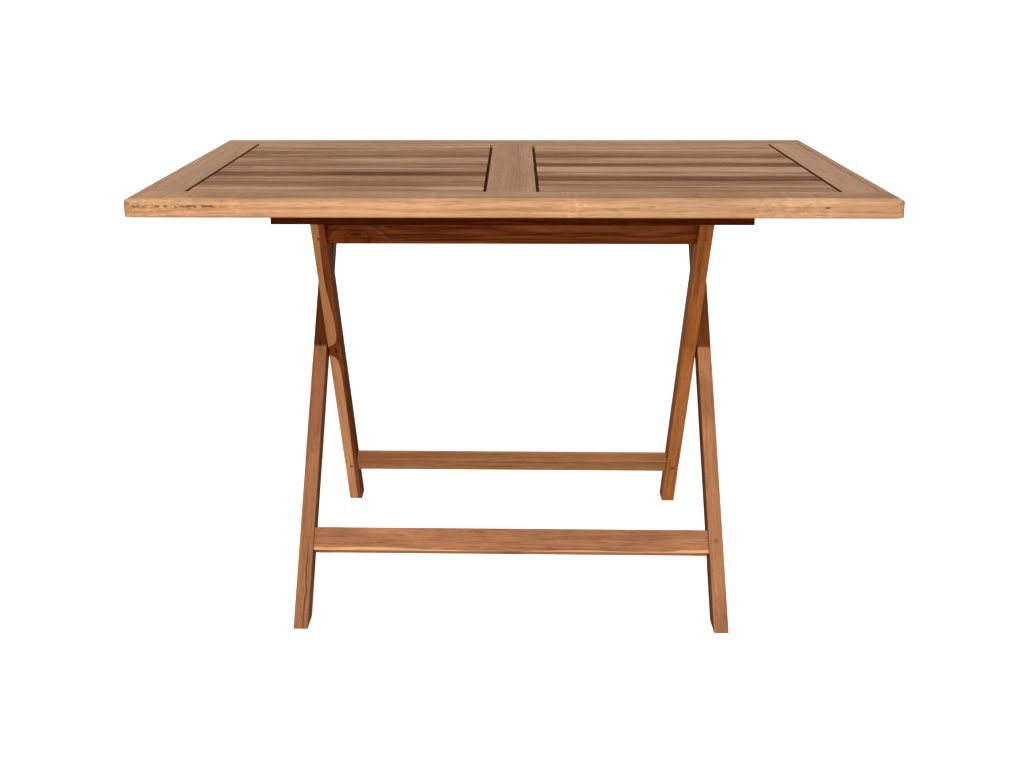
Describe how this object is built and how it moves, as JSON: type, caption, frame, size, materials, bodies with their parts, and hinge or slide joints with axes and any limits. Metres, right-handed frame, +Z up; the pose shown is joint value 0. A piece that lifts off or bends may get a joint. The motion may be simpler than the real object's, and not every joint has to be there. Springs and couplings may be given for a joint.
{
  "type": "folding picnic table",
  "caption": "Rectangular slatted hardwood picnic table on two crossed leg frames that fold flat under the top.",
  "frame": {"origin": "on the floor, under the centre of the tabletop", "axes": "+Z up, X along the top's long side, Y across it; the hinged (front) side of the top faces -Y"},
  "size_m": [1.212, 0.76, 0.75],
  "materials": {
    "teak_top": "satin, oiled and slightly weathered",
    "teak_leg": "satin, oiled",
    "teak_under": "satin, oiled, dark heartwood",
    "teak_peg": "satin, end grain",
    "brass": "satin, slightly tarnished"
  },
  "bodies": {
    "top": {"long_rail_front": "teak_top", "long_rail_back": "teak_top", "end_board_left": "teak_top", "end_board_right": "teak_top", "centre_board": "teak_top", "slat_left_1": "teak_top", "slat_left_2": "teak_top", "slat_left_3": "teak_top", "slat_left_4": "teak_top", "slat_left_5": "teak_top", "slat_left_6": "teak_top", "slat_left_7": "teak_top", "slat_left_8": "teak_top", "slat_left_9": "teak_top", "slat_left_10": "teak_top", "slat_left_11": "teak_top", "slat_right_1": "teak_top", "slat_right_2": "teak_top", "slat_right_3": "teak_top", "slat_right_4": "teak_top", "slat_right_5": "teak_top", "slat_right_6": "teak_top", "slat_right_7": "teak_top", "slat_right_8": "teak_top", "slat_right_9": "teak_top", "slat_right_10": "teak_top", "slat_right_11": "teak_top", "rail_dowels": "teak_peg", "batten_front": "teak_under", "batten_back": "teak_under", "batten_screws": "brass", "hinge_batten_leaves": "brass", "hinge_pins": "brass", "hinge_batten_screws": "brass", "button_screws": "brass", "button_washers": "brass"},
    "turn_button_left": {"turn_button_left": "teak_leg"},
    "turn_button_right": {"turn_button_right": "teak_leg"},
    "inner_frame": {"inner_leg_left": "teak_leg", "inner_leg_right": "teak_leg", "inner_top_rail": "teak_under", "inner_stretcher": "teak_leg", "inner_pegs": "teak_peg", "hinge_frame_leaves": "brass", "hinge_frame_screws": "brass", "pivot_bolts": "brass", "pivot_washers": "brass", "pivot_inserts": "brass"},
    "outer_frame": {"outer_leg_left": "teak_leg", "outer_leg_right": "teak_leg", "outer_top_rail": "teak_under", "outer_stretcher": "teak_leg", "outer_pegs": "teak_peg"}
  },
  "joints": [
    {"name": "fold", "type": "hinge", "parent": "top", "child": "inner_frame", "pos_m": [0, -0.13466, 0.673], "axis": [1, 0, 0], "range_deg": [0, 55]},
    {"name": "scissor", "type": "hinge", "parent": "inner_frame", "child": "outer_frame", "pos_m": [0, 0, 0.412], "axis": [1, 0, 0], "range_deg": [-103.4, 0]},
    {"name": "button_left", "type": "hinge", "parent": "top", "child": "turn_button_left", "pos_m": [-0.3587, 0.22833, 0.699], "axis": [0, 1, 0], "range_deg": [0, 90]},
    {"name": "button_right", "type": "hinge", "parent": "top", "child": "turn_button_right", "pos_m": [0.3587, 0.22833, 0.699], "axis": [0, -1, 0], "range_deg": [0, 90]}
  ],
  "couplings": [
    {"joint": "scissor", "follows": "fold", "ratio": -1.88}
  ]
}
